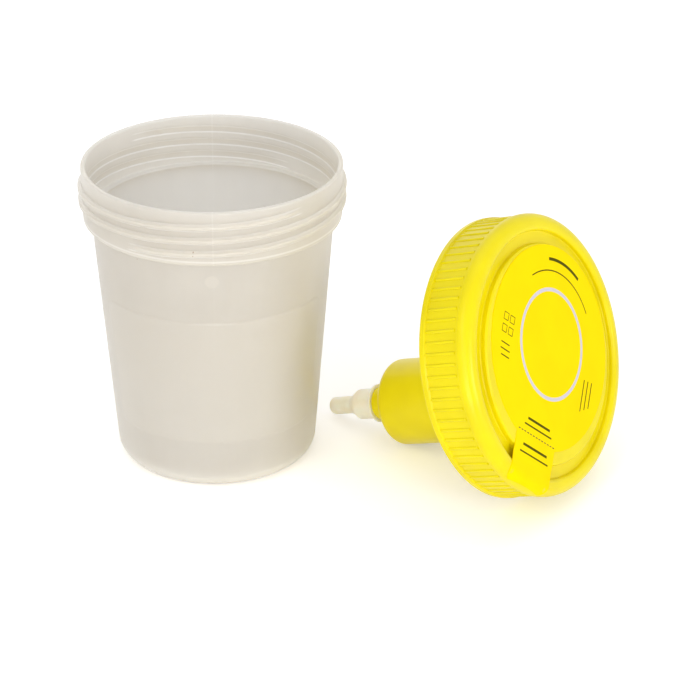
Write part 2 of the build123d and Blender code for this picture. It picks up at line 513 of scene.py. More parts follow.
class Growth:
    """A geometry node tree with named inputs, which is grown on an object and then made plain."""

    def __init__(self, name: str, sizes: dict[str, float]) -> None:
        """Start the tree.

        Args:
            name: Name of the tree.
            sizes: Its named inputs with their values. A whole number makes an integer input.
        """
        tree = bpy.data.node_groups.new(name, "GeometryNodeTree")
        self.sizes = sizes
        self.tree = tree
        self.identifiers: dict[str, str] = {}
        tree.interface.new_socket("Geometry", in_out="INPUT", socket_type="NodeSocketGeometry")
        tree.interface.new_socket("Geometry", in_out="OUTPUT", socket_type="NodeSocketGeometry")
        for label, value in sizes.items():
            kind = "NodeSocketInt" if isinstance(value, int) else "NodeSocketFloat"
            socket = tree.interface.new_socket(label, in_out="INPUT", socket_type=kind)
            self.identifiers[label] = socket.identifier
        self.graph = Graph(tree)
        self.source = self.graph.node("NodeGroupInput")

    def size(self, label: str) -> Signal:
        """One of the tree's named inputs."""
        return Signal(self.graph, self.source.outputs[label])

    def base(self) -> Signal:
        """The geometry that comes in."""
        return Signal(self.graph, self.source.outputs["Geometry"])

    def grow(self, item: bpy.types.Object, shape: Signal, material: bpy.types.Material) -> bpy.types.Object:
        """End the tree, run it on an object and keep the result as a plain mesh.

        Args:
            item: The object that the tree works on.
            shape: The geometry that the tree gives.
            material: The material of the result.

        Returns:
            The same object.
        """
        real = self.graph.signal("GeometryNodeRealizeInstances", None, {"Geometry": shape})
        inputs = {"Geometry": real, "Material": material}
        done = self.graph.signal("GeometryNodeSetMaterial", None, inputs)
        self.graph.node("NodeGroupOutput", None, {"Geometry": done})
        modifier = item.modifiers.new(self.tree.name, "NODES")
        modifier.node_group = self.tree
        for label, value in self.sizes.items():
            modifier[self.identifiers[label]] = value
        return settled(item)


@dataclass
class ScrewThread:
    """Several starts of a right-handed thread with ends that run out into the wall."""

    starts: int = 2
    spacing: float = 3.6
    turns: float = 1.23
    height: float = 1.0
    root_width: float = 2.0
    crest_width: float = 0.7
    runout: float = 0.045
    end_angle: float = 53.0

    def courses(self, graph: Graph, angle: Signal) -> Iterator[Signal]:
        """Turns travelled from its lower end by every lap of every start.

        Args:
            graph: The tree to work in.
            angle: Angle from the end of the first start, in turns.

        Yields:
            The turns travelled at that angle.
        """
        for start in range(self.starts):
            first = graph.math("FRACT", angle - start / self.starts)
            for lap in range(math.ceil(self.turns)):
                yield first + float(lap)

    def raise_on(self, item: bpy.types.Object, foot: float, material: bpy.types.Material) -> bpy.types.Object:
        """Raise the thread on the rows of an object that take relief.

        Args:
            item: A lathed object with its relief attribute.
            foot: Height of the thread's lower end.
            material: The material of the object.

        Returns:
            The same object.
        """
        sizes = {
            "Foot": foot,
            "Lead": self.spacing * self.starts,
            "Turns": self.turns,
            "Height": self.height,
            "Root width": self.root_width,
            "Crest width": self.crest_width,
            "Run-out": self.runout,
            "End angle": self.end_angle / 360.0,
        }
        growth = Growth(f"thread_on_{item.name}", sizes)
        graph = growth.graph
        across, along, height = graph.split(graph.signal("GeometryNodeInputPosition"))
        angle = graph.math("ARCTAN2", along, across) / TURN
        relief = graph.signal(
            "GeometryNodeInputNamedAttribute", {"data_type": "FLOAT"}, {"Name": "relief"}, "Attribute")
        flank = (growth.size("Root width") - growth.size("Crest width")) / 2
        steepness = 1.0 + graph.math("LESS_THAN", relief, 0.5) * 2.0
        rise: Operand = 0.0
        for travelled in self.courses(graph, angle - growth.size("End angle")):
            centre = growth.size("Foot") + growth.size("Lead") * travelled
            inside = growth.size("Root width") / 2 - abs(height - centre)
            section = graph.ramp(inside * steepness / flank, 0.0, 1.0)
            from_end = graph.least(travelled, growth.size("Turns") - travelled)
            rise = graph.most(rise, section * graph.ramp(from_end / growth.size("Run-out"), 0.0, 1.0))
        level = graph.join(across, along, 0.0)
        outward = graph.signal("ShaderNodeVectorMath", {"operation": "NORMALIZE"}, {0: level})
        amount = rise * growth.size("Height") * relief
        offset = graph.signal("ShaderNodeVectorMath", {"operation": "SCALE"}, {0: outward, "Scale": amount})
        moved = graph.signal("GeometryNodeSetPosition", None, {"Geometry": growth.base(), "Offset": offset})
        return growth.grow(item, moved, material)


@dataclass
class RibRing:
    """Upright grip ribs, evenly spaced round a wall."""

    count: int = 80
    width: float = 0.85
    height: float = 0.32
    sink: float = 0.25
    end_rounding: float = 0.25
    end_step: float = 0.35
    end_share: float = 0.75
    arc_points: int = 8

    def bar(self, foot: float, head: float) -> bpy.types.Object:
        """One rib at the origin, standing out along X.

        Args:
            foot: Height of its lower end.
            head: Height of its upper end.

        Returns:
            The rib as a closed solid.
        """
        steps = [(0.0, 0.0), (self.end_rounding * self.end_step, self.end_share), (self.end_rounding, 1.0)]
        levels = [(foot + rise, share) for rise, share in steps]
        levels += [(head - rise, share) for rise, share in reversed(steps)]
        mesh = bpy.data.meshes.new("rib_bar")
        work = bmesh.new()
        sections = []
        for level, share in levels:
            ring = []
            for index in range(self.arc_points):
                sweep = math.pi * index / (self.arc_points - 1)
                side = -self.width / 2 * math.cos(sweep)
                out = self.height * share * math.sin(sweep)
                ring.append(work.verts.new((out, side, level)))
            ring.append(work.verts.new((-self.sink, self.width / 2, level)))
            ring.append(work.verts.new((-self.sink, -self.width / 2, level)))
            sections.append(ring)
        for lower, upper in zip(sections, sections[1:]):
            for k in range(len(lower)):
                n = (k + 1) % len(lower)
                work.faces.new((lower[k], lower[n], upper[n], upper[k]))
        work.faces.new(list(reversed(sections[0])))
        work.faces.new(sections[-1])
        bmesh.ops.triangulate(work, faces=[face for face in work.faces if len(face.verts) > 4])
        bmesh.ops.recalc_face_normals(work, faces=work.faces)
        work.to_mesh(mesh)
        work.free()
        return new_object("grip_ribs", mesh)

    def build(
        self, radius: float, foot: float, head: float, material: bpy.types.Material,
    ) -> bpy.types.Object:
        """The whole ring of ribs.

        Args:
            radius: Radius of the wall.
            foot: Height of the ribs' lower ends.
            head: Height of their upper ends.
            material: Their material.

        Returns:
            The ribs as one plain object.
        """
        growth = Growth("rib_ring", {"Count": self.count, "Radius": radius})
        graph = growth.graph
        inputs = {"Vertices": growth.size("Count"), "Radius": growth.size("Radius")}
        circle = graph.signal("GeometryNodeMeshCircle", {"fill_type": "NONE"}, inputs)
        across, along, _ = graph.split(graph.signal("GeometryNodeInputPosition"))
        turn = graph.join(0.0, 0.0, graph.math("ARCTAN2", along, across))
        inputs = {"Points": circle, "Instance": growth.base(), "Rotation": turn}
        ribs = graph.signal("GeometryNodeInstanceOnPoints", None, inputs)
        return growth.grow(self.bar(foot, head), ribs, material)


@dataclass
class SlitRow:
    """A straight row of short perforation slits."""

    count: int = 13
    length: float = 1.1
    width: float = 0.3
    depth: float = 0.02
    end_rounding: float = 0.48

    def build(self, start: Vector, end: Vector, material: bpy.types.Material) -> bpy.types.Object:
        """The row of slits.

        Args:
            start: Middle of the first slit.
            end: Middle of the last slit.
            material: Their material.

        Returns:
            The slits as one plain object.
        """
        work = bmesh.new()
        bmesh.ops.create_cube(work, size=1.0)
        bmesh.ops.scale(work, vec=(self.length, self.width, self.depth), verts=work.verts)
        upright = [e for e in work.edges if abs(e.verts[0].co.z - e.verts[1].co.z) > self.depth / 2]
        bmesh.ops.bevel(work, geom=upright, offset=self.width * self.end_rounding, segments=3, affect="EDGES")
        run = end - start
        bmesh.ops.rotate(work, matrix=Matrix.Rotation(math.atan2(run.y, run.x), 3, "Z"), verts=work.verts)
        mesh = bpy.data.meshes.new("tear_slits")
        work.to_mesh(mesh)
        work.free()
        sizes = {"Count": self.count, "Start X": start.x, "Start Y": start.y}
        sizes |= {"Step X": run.x / (self.count - 1), "Step Y": run.y / (self.count - 1), "Height": start.z}
        growth = Growth("slit_row", sizes)
        graph = growth.graph
        first = graph.join(growth.size("Start X"), growth.size("Start Y"), growth.size("Height"))
        step = graph.join(growth.size("Step X"), growth.size("Step Y"), 0.0)
        inputs = {"Count": growth.size("Count"), "Start Location": first, "Offset": step}
        line = graph.signal("GeometryNodeMeshLine", {"mode": "OFFSET"}, inputs)
        inputs = {"Points": line, "Instance": growth.base()}
        slits = graph.signal("GeometryNodeInstanceOnPoints", None, inputs)
        return growth.grow(new_object("tear_slits", mesh), slits, material)


# --------------------------------------------------------------------------- finishes


@dataclass(frozen=True)
class Finish(ABC):
    """A surface finish made of nodes on object coordinates.

    Its place leads from the frame that its sizes are in, in millimetres, to the part's frame in metres.
    """

    name: str
    place: Matrix = field(default_factory=lambda: Matrix.Scale(MM, 4))

    def build(self) -> bpy.types.Material:
        """Build the finish.

        Returns:
            The material.
        """
        material = bpy.data.materials.new(self.name)
        graph = fresh_graph(material)
        shader = graph.node("ShaderNodeBsdfPrincipled")
        graph.node("ShaderNodeOutputMaterial", None, {"Surface": Signal(graph, shader.outputs["BSDF"])})
        self.dress(graph, shader)
        return material

    @abstractmethod
    def dress(self, graph: Graph, shader: bpy.types.Node) -> None:
        """Set the shader's sockets.

        Args:
            graph: The material's tree.
            shader: Its Principled BSDF.
        """

    def object_mm(self, graph: Graph) -> Signal:
        """Object coordinates in millimetres, in the finish's own frame.

        Args:
            graph: The material's tree.

        Returns:
            The coordinates.
        """
        back = self.place.inverted()
        inputs = {
            "Vector": graph.signal("ShaderNodeTexCoord", None, None, "Object"),
            "Location": back.to_translation(),
            "Rotation": back.to_euler("XYZ"),
            "Scale": back.to_scale(),
        }
        return graph.signal("ShaderNodeMapping", {"vector_type": "POINT"}, inputs)

    @staticmethod
    def bumped(graph: Graph, height: Signal, distance_mm: float) -> Signal:
        """A bumped normal.

        Args:
            graph: The material's tree.
            height: Height between 0 and 1.
            distance_mm: Depth of the relief in millimetres.

        Returns:
            The normal.
        """
        inputs = {"Strength": 1.0, "Distance": distance_mm * MM, "Height": height}
        return graph.signal("ShaderNodeBump", None, inputs)

    @staticmethod
    def clouded(graph: Graph, cloud: Signal, first: Colour, second: Colour) -> Signal:
        """Two close tones of a colour, mixed by a cloudy noise.

        Args:
            graph: The material's tree.
            cloud: The noise.
            first: Tone where the noise is low, as on screen.
            second: Tone where it is high.

        Returns:
            The colour.
        """
        share = graph.ramp(cloud, CLOUD_LOW, CLOUD_HIGH)
        return graph.mix(share, linear(*first), linear(*second))


@dataclass(frozen=True)
class NaturalPlastic(Finish):
    """Uncoloured, milky polypropylene of the cup, with its parting line and gate mark."""

    name: str = "natural_plastic"
    # The wall's tone runs from the foot tone at the foot to the neck tone at neck_height: painted light and
    # shade, lighter at the foot and darker at the neck.
    painted_light_foot_tone: Colour = (250, 238, 217)
    painted_shade_neck_tone: Colour = (199, 190, 175)
    neck_height: float = 76.0
    haze: Colour = (224, 213, 194)
    fleck: Colour = (150, 118, 84)
    fleck_strength: float = 0.8
    fleck_places: tuple[Triple, ...] = ((-94.9, 72.1, 0.2), (-94.9, 71.3, 0.2), (-124.0, 66.5, 0.16))
    # Pale tone of the painted highlights along the parting line, the ledge and the thread's flanks.
    painted_highlight_tone: Colour = (244, 240, 232)
    seam_angle: float = -86.6
    seam_width: float = 0.32
    seam_foot: float = 68.0
    seam_fade: float = 1.0
    seam_on_wall: float = 0.02
    seam_on_neck: float = 0.08
    mark_height: float = 62.6
    mark_radius: float = 1.75
    mark_edge: float = 0.35
    mark_turn: float = 0.9
    mark_strength: float = 0.35
    thread: ScrewThread = field(default_factory=ScrewThread)
    thread_foot: float = 70.7
    # Placing and strength of the painted highlights along the thread's flanks and along the ledge.
    glint_offset: float = 0.85
    glint_width: float = 0.34
    glint_runout: float = 0.012
    glint_strength: float = 0.55
    upper_glint: float = 0.5
    ledge_height: float = 69.2
    ledge_glint: float = 0.8
    ledge_glint_width: float = 0.45

    def parting_line(self, graph: Graph, angle: Signal, radius: Signal, height: Signal) -> Signal:
        """Parting line on both sides of the cup, fainter below the neck.

        Args:
            graph: The material's tree.
            angle: Angle about the cup's axis.
            radius: Distance from it.
            height: Height above the foot.

        Returns:
            Share of the line.
        """
        line: Operand = 0.0
        for turn in (0.0, math.pi):
            middle = math.radians(self.seam_angle) + turn
            gap = graph.math("WRAP", angle - middle, math.pi, -math.pi)
            line = graph.most(line, graph.ramp(abs(gap) * radius, self.seam_width, 0.0))
        on_neck = graph.ramp(height, self.seam_foot - self.seam_fade, self.seam_foot + self.seam_fade)
        return line * (self.seam_on_wall + on_neck * self.seam_on_neck)

    def gate_mark(self, graph: Graph, angle: Signal, radius: Signal, height: Signal) -> Signal:
        """Round mark beside the parting line, above the panel.

        Args:
            graph: The material's tree.
            angle: Angle about the cup's axis.
            radius: Distance from it.
            height: Height above the foot.

        Returns:
            Share of the mark.
        """
        aside = (angle - math.radians(self.seam_angle - self.mark_turn)) * radius
        away = graph.length(aside, height - self.mark_height)
        mark = graph.ramp(away, self.mark_radius + self.mark_edge, self.mark_radius - self.mark_edge)
        return mark * graph.math("GREATER_THAN", height, self.mark_height - 2 * self.mark_radius)

    def painted_glints(self, graph: Graph, angle: Signal, height: Signal) -> Signal:
        """Painted highlights: pale lines along the ledge and along both flanks of the thread.

        Args:
            graph: The material's tree.
            angle: Angle about the cup's axis.
            height: Height above the foot.

        Returns:
            Share of the lines.
        """
        glint = graph.ramp(abs(height - self.ledge_height), self.ledge_glint_width, 0.0) * self.ledge_glint
        end = math.radians(self.thread.end_angle)
        for travelled in self.thread.courses(graph, (angle - end) / TURN):
            below = travelled * (self.thread.spacing * self.thread.starts) + self.thread_foot - height
            low = graph.ramp(abs(below - self.glint_offset), self.glint_width, 0.0)
            high = graph.ramp(abs(below + self.glint_offset), self.glint_width, 0.0) * self.upper_glint
            from_end = graph.least(travelled, self.thread.turns - travelled)
            inside = graph.ramp(from_end, 0.0, self.glint_runout)
            glint = graph.most(glint, graph.most(low, high) * inside)
        return glint

    def dress(self, graph: Graph, shader: bpy.types.Node) -> None:
        """See Finish.dress."""
        place = self.object_mm(graph)
        across, along, height = graph.split(place)
        angle = graph.math("ARCTAN2", along, across)
        radius = graph.length(across, along)
        cloud = graph.noise(place, 0.035, 3.0)
        streaks = graph.noise(graph.join(angle * 5.0, 0.0, height * 0.03), 1.0, 3.0)
        grain = graph.noise(place, 1.6, 2.0)
        seam = self.parting_line(graph, angle, radius, height)
        mark = self.gate_mark(graph, angle, radius, height)
        # Painted light and shade: the wall is lighter at the foot and darker towards the neck.
        upward = graph.ramp(height, 0.0, self.neck_height)
        colour = graph.mix(upward, linear(*self.painted_light_foot_tone), linear(*self.painted_shade_neck_tone))
        hazy = graph.ramp(cloud * 0.8 + streaks * 0.2, 0.3, 0.9) * 0.5
        colour = graph.mix(hazy, colour, linear(*self.haze))
        # Painted highlights along the ledge and the thread's flanks.
        glint = self.painted_glints(graph, angle, height) * self.glint_strength
        colour = graph.mix(glint, colour, linear(*self.painted_highlight_tone))
        # Painted highlight along the parting line, over its real bumped ridge.
        colour = graph.mix(seam, colour, linear(*self.painted_highlight_tone))
        colour = graph.mix(mark * self.mark_strength, colour, linear(*self.haze))
        for degrees, level, size in self.fleck_places:
            aside = (angle - math.radians(degrees)) * radius
            spot = graph.ramp(graph.length(aside, height - level), size, size * 0.4)
            colour = graph.mix(spot * self.fleck_strength, colour, linear(*self.fleck))
        relief = grain * 0.14 + cloud * 0.2 + seam * 0.3 - mark * 0.5
        graph.feed(shader, {
            "Base Color": colour,
            "Roughness": 0.3 + grain * 0.06 + streaks * 0.03,
            "Normal": self.bumped(graph, relief, 0.05),
            "Subsurface Weight": 1.0,
            "Subsurface Radius": (0.94, 0.97, 1.0),
            "Subsurface Scale": 0.012,
            "IOR": 1.45,
            "Specular IOR Level": 0.5,
        })


@dataclass(frozen=True)
class YellowPlastic(Finish):
    """Opaque yellow moulding of the lid, satin with a soft sheen on its edges."""

    name: str = "yellow_plastic"
    bright: Colour = (236, 219, 0)
    deep: Colour = (229, 211, 0)
    base_roughness: float = 0.28

    def dress(self, graph: Graph, shader: bpy.types.Node) -> None:
        """See Finish.dress."""
        place = self.object_mm(graph)
        cloud = graph.noise(place, 0.06, 3.0)
        grain = graph.noise(place, 2.4, 3.0)
        graph.feed(shader, {
            "Base Color": self.clouded(graph, cloud, self.bright, self.deep),
            "Roughness": self.base_roughness + grain * 0.1 - cloud * 0.04,
            "Normal": self.bumped(graph, grain * 0.35 + cloud * 0.65, 0.035),
            "Subsurface Weight": 0.2,
            "Subsurface Radius": (1.0, 0.95, 0.05),
            "Subsurface Scale": 0.001,
            "IOR": 1.49,
            "Specular IOR Level": 0.27,
        })


@dataclass(frozen=True)
class CreamPlastic(Finish):
    """Cream, slightly translucent moulding of the spout."""

    name: str = "cream_plastic"
    light: Colour = (249, 243, 224)
    dark: Colour = (242, 233, 209)

    def dress(self, graph: Graph, shader: bpy.types.Node) -> None:
        """See Finish.dress."""
        place = self.object_mm(graph)
        cloud = graph.noise(place, 0.22, 3.0)
        grain = graph.noise(place, 3.0, 2.0)
        graph.feed(shader, {
            "Base Color": self.clouded(graph, cloud, self.light, self.dark),
            "Roughness": 0.4 + grain * 0.1,
            "Normal": self.bumped(graph, grain * 0.5 + cloud * 0.5, 0.03),
            "Subsurface Weight": 0.8,
            "Subsurface Radius": (1.0, 0.85, 0.6),
            "Subsurface Scale": 0.0018,
            "IOR": 1.49,
        })


@dataclass(frozen=True)
class NeedleSteel(Finish):
    """Drawn stainless tube with fine lines along it."""

    name: str = "needle_steel"
    dark: Colour = (196, 199, 204)
    light: Colour = (216, 218, 222)

    def dress(self, graph: Graph, shader: bpy.types.Node) -> None:
        """See Finish.dress."""
        across, along, height = graph.split(self.object_mm(graph))
        lines = graph.noise(graph.join(across * 12.0, along * 12.0, height * 0.3), 1.0, 4.0)
        graph.feed(shader, {
            "Base Color": graph.mix(lines, linear(*self.dark), linear(*self.light)),
            "Metallic": 1.0,
            "Roughness": 0.22 + lines * 0.14,
            "Normal": self.bumped(graph, lines, 0.004),
        })


@dataclass(frozen=True)
class SleeveRubber(Finish):
    """Matt grey rubber of the needle's sleeve, dusted with talc."""

    name: str = "sleeve_rubber"
    dark: Colour = (112, 108, 102)
    dusted: Colour = (150, 146, 138)

    def dress(self, graph: Graph, shader: bpy.types.Node) -> None:
        """See Finish.dress."""
        place = self.object_mm(graph)
        talc = graph.noise(place, 0.9, 4.0)
        grain = graph.noise(place, 6.0, 2.0)
        graph.feed(shader, {
            "Base Color": graph.mix(graph.ramp(talc, 0.4, 0.75), linear(*self.dark), linear(*self.dusted)),
            "Roughness": 0.72 + grain * 0.16,
            "Normal": self.bumped(graph, grain, 0.03),
            "Subsurface Weight": 0.1,
            "Subsurface Scale": 0.001,
        })


@dataclass(frozen=True)
class PrintedFilm(Finish):
    """Flat yellow label film with a plain printed ring, arcs, rules and boxes.

    Places are in the label's own reading frame: x to the right along its rules, y away from its tab.
    """

    name: str = "label_film"
    film: Colour = (252, 222, 0)
    film_deep: Colour = (250, 218, 0)
    ink: Colour = (44, 52, 12)
    ring_ink: Colour = (206, 202, 214)
    ring_centre: Point = (0.3, 2.8)
    ring_radius: float = 14.3
    ring_width: float = 1.0
    edge: float = 0.04
    print_height: float = 0.05
    rules: tuple[tuple[float, float, float, float], ...] = (
        (17.6, -5.0, 0.2, 4.4), (19.4, -4.4, 0.2, 4.0), (21.2, -3.8, 0.2, 3.6),
        (-19.9, -4.6, 1.9, 0.17), (-19.6, -6.2, 2.1, 0.17), (-19.2, -7.8, 1.9, 0.17),
        (0.2, -19.2, 5.2, 0.34), (0.2, -20.9, 6.4, 0.22),
        (0.2, -26.2, 5.6, 0.34), (0.2, -28.2, 6.6, 0.22),
    )
    boxes: tuple[Point, ...] = ((-21.3, 2.2), (-18.5, 2.2), (-21.3, -1.0), (-18.5, -1.0))
    box_half: float = 0.95
    box_line: float = 0.11
    arcs: tuple[Triple, ...] = ((19.3, 0.17, 44.0), (22.3, 0.42, 19.0))

    def stroke(self, graph: Graph, distance: Signal, half_width: float) -> Signal:
        """Ink within a distance of a line.

        Args:
            graph: The material's tree.
            distance: Distance from the line.
            half_width: Half the line's width.

        Returns:
            Share of ink.
        """
        return graph.ramp(distance, half_width + self.edge, half_width - self.edge)

    def dress(self, graph: Graph, shader: bpy.types.Node) -> None:
        """See Finish.dress."""
        place = self.object_mm(graph)
        across, along, height = graph.split(place)
        from_x = across - self.ring_centre[0]
        from_y = along - self.ring_centre[1]
        radius = graph.length(from_x, from_y)
        upward = graph.math("ARCTAN2", from_x, from_y)
        ring = self.stroke(graph, abs(radius - self.ring_radius), self.ring_width / 2)
        ink: Operand = 0.0
        for arc_radius, half_width, half_angle in self.arcs:
            line = self.stroke(graph, abs(radius - arc_radius), half_width)
            inside = graph.math("LESS_THAN", abs(upward), math.radians(half_angle))
            ink = graph.most(ink, line * inside)
        for x, y, half_long, half_high in self.rules:
            beyond = graph.most(abs(across - x) - half_long, abs(along - y) - half_high)
            ink = graph.most(ink, self.stroke(graph, beyond, 0.0))
        for x, y in self.boxes:
            beyond = graph.most(abs(across - x), abs(along - y)) - self.box_half
            ink = graph.most(ink, self.stroke(graph, abs(beyond), self.box_line))
        on_top = graph.math("GREATER_THAN", height, self.print_height)
        cloud = graph.noise(place, 0.08, 3.0)
        grain = graph.noise(place, 3.2, 3.0)
        colour = self.clouded(graph, cloud, self.film, self.film_deep)
        colour = graph.mix(ring * 0.95, colour, linear(*self.ring_ink))
        colour = graph.mix(ink * on_top * 0.94, colour, linear(*self.ink))
        graph.feed(shader, {
            "Base Color": colour,
            "Roughness": 0.46 + grain * 0.08 - ink * 0.06,
            "Normal": self.bumped(graph, cloud * 0.8 + grain * 0.2, 0.03),
            "IOR": 1.45,
            "Specular IOR Level": 0.03,
        })


@dataclass(frozen=True)
class SlitShadow(Finish):
    """Dark inside of a cut in the label film."""

    name: str = "slit_shadow"
    dark: Colour = (96, 84, 0)
    light: Colour = (118, 104, 0)

    def dress(self, graph: Graph, shader: bpy.types.Node) -> None:
        """See Finish.dress."""
        cloud = graph.noise(self.object_mm(graph), 1.5, 2.0)
        graph.feed(shader, {
            "Base Color": graph.mix(cloud, linear(*self.dark), linear(*self.light)),
            "Roughness": 0.8,
        })


# --------------------------------------------------------------------------- sub-assemblies


@dataclass
class Cup:
    """Tapered cup with a stepped, threaded neck, a write-on panel and a recessed foot."""

    height: float = 82.6
    rim_radius: float = 34.0
    neck_depth: float = 14.6
    neck_taper: float = 0.2
    rim_wall: float = 1.3
    rim_rounding: float = 0.5
    body_top_radius: float = 31.7
    body_foot_radius: float = 26.6
    body_wall: float = 1.1
    shoulder_thickness: float = 1.3
    shoulder_rounding: float = 0.7
    heel_radius: float = 4.1
    floor_thickness: float = 1.3
    foot_recess: float = 0.9
    foot_ring_width: float = 2.6
    foot_slope: float = 0.6
    thread_end_below_rim: float = 11.9
    inner_relief: float = 0.16
    plain_neck_foot: float = 0.9
    panel_foot: float = 14.4
    panel_head: float = 50.4
    panel_middle: float = -86.5
    panel_half_angle: float = 65.0
    panel_rounding: float = 4.0
    panel_height: float = 0.16
    panel_edge: float = 0.35
    columns: int = 300
    neck_rows: float = 0.22
    panel_rows: float = 0.3
    plain_rows: float = 3.0
    thread: ScrewThread = field(default_factory=ScrewThread)

    def wall_radius(self, height: float) -> float:
        """Outside radius of the tapered wall at a height."""
        slope = (self.body_top_radius - self.body_foot_radius) / (self.height - self.neck_depth)
        return self.body_foot_radius + slope * height

    def outline(self) -> list[Point]:
        """Section of the cup, with rows for its thread and panel.

        Returns:
            Radius and height of each point.
        """
        neck_foot = self.height - self.neck_depth
        ledge = neck_foot + self.shoulder_thickness
        floor = self.foot_recess + self.floor_thickness
        inner_foot = self.body_foot_radius - self.heel_radius - self.foot_ring_width
        neck_radius = self.rim_radius - self.neck_taper
        corners = [
            (0, self.foot_recess, 0),
            (inner_foot - self.foot_slope, self.foot_recess, 0.3),
            (inner_foot, 0, 0.25),
            (self.body_foot_radius, 0, self.heel_radius),
            (self.body_top_radius, neck_foot, 0.4),
            (neck_radius, neck_foot, self.shoulder_rounding),
            (self.rim_radius, self.height, self.rim_rounding),
            (self.rim_radius - self.rim_wall, self.height, self.rim_rounding),
            (neck_radius - self.rim_wall, ledge, 0.35),
            (self.wall_radius(ledge) - self.body_wall, ledge, self.shoulder_rounding),
            (self.wall_radius(floor) - self.body_wall, floor, self.heel_radius - self.body_wall),
            (0, floor, 0),
        ]
        return with_rows(rounded_outline(corners), self.row_spacing)

    def row_spacing(self, height: float) -> float:
        """Longest step between rows.

        Args:
            height: Height above the foot.

        Returns:
            The step.
        """
        if height > self.height - self.neck_depth:
            return self.neck_rows
        near = min(abs(height - self.panel_foot), abs(height - self.panel_head))
        return self.panel_rows if near < self.panel_rounding + 1 else self.plain_rows

    def angles(self) -> list[float]:
        """Angles of the columns, closer together at the panel's upright edges.

        Returns:
            The angles in radians.
        """
        edges = [math.radians(self.panel_middle + side * self.panel_half_angle) for side in (-1, 1)]
        band = self.panel_rounding * 1.3 / self.body_foot_radius
        fine = self.panel_rows / self.body_top_radius
        angles = []
        angle = 0.0
        while angle < TURN - 1e-6:
            angles.append(angle)
            away = min(abs((angle - edge + math.pi) % TURN - math.pi) for edge in edges)
            angle += fine if away < band else TURN / self.columns
        return angles

    def raise_panel(self, item: bpy.types.Object) -> None:
        """Raise the write-on panel out of the wall's outer rows.

        Args:
            item: The lathed cup.
        """
        count = len(item.data.vertices)
        places = np.empty(count * 3)
        item.data.vertices.foreach_get("co", places)
        places = places.reshape(-1, 3)
        radius = np.hypot(places[:, 0], places[:, 1])
        wall = self.wall_radius(places[:, 2])
        turn = np.arctan2(places[:, 1], places[:, 0]) - math.radians(self.panel_middle)
        turn = (turn + math.pi) % TURN - math.pi
        half_width = math.radians(self.panel_half_angle) * wall
        side = np.abs(turn) * wall - half_width + self.panel_rounding
        middle = (self.panel_foot + self.panel_head) / 2
        up = np.abs(places[:, 2] - middle) - (self.panel_head - self.panel_foot) / 2 + self.panel_rounding
        beyond = np.hypot(np.maximum(side, 0), np.maximum(up, 0)) + np.minimum(np.maximum(side, up), 0)
        share = np.clip((self.panel_rounding + self.panel_edge / 2 - beyond) / self.panel_edge, 0, 1)
        share = share * share * (3 - 2 * share) * (np.abs(radius - wall) < self.body_wall / 2)
        places[:, :2] *= (1 + share * self.panel_height / np.maximum(radius, 1.0))[:, None]
        item.data.vertices.foreach_set("co", places.ravel())

    def relief(self, radius: float, height: float) -> float:
        """Share of the thread's relief that a point of the outline takes.

        Args:
            radius: Its distance from the axis.
            height: Its height above the foot.

        Returns:
            The share.
        """
        if height < self.height - self.neck_depth + self.plain_neck_foot:
            return 0.0
        middle = self.rim_radius - (self.rim_wall + self.neck_taper) / 2
        return 1.0 if radius > middle else self.inner_relief

    def build(self, material: bpy.types.Material) -> bpy.types.Object:
        """Build the cup.

        Args:
            material: Its finish.

        Returns:
            The cup, in place.
        """
        item = lathe("specimen_cup", self.outline(), self.angles(), self.relief)
        self.raise_panel(item)
        self.thread.raise_on(item, self.height - self.thread_end_below_rim, material)
        return finish_piece(item, Matrix.Scale(MM, 4), material, Body.CUP, Slot.NATURAL, ["cup"])


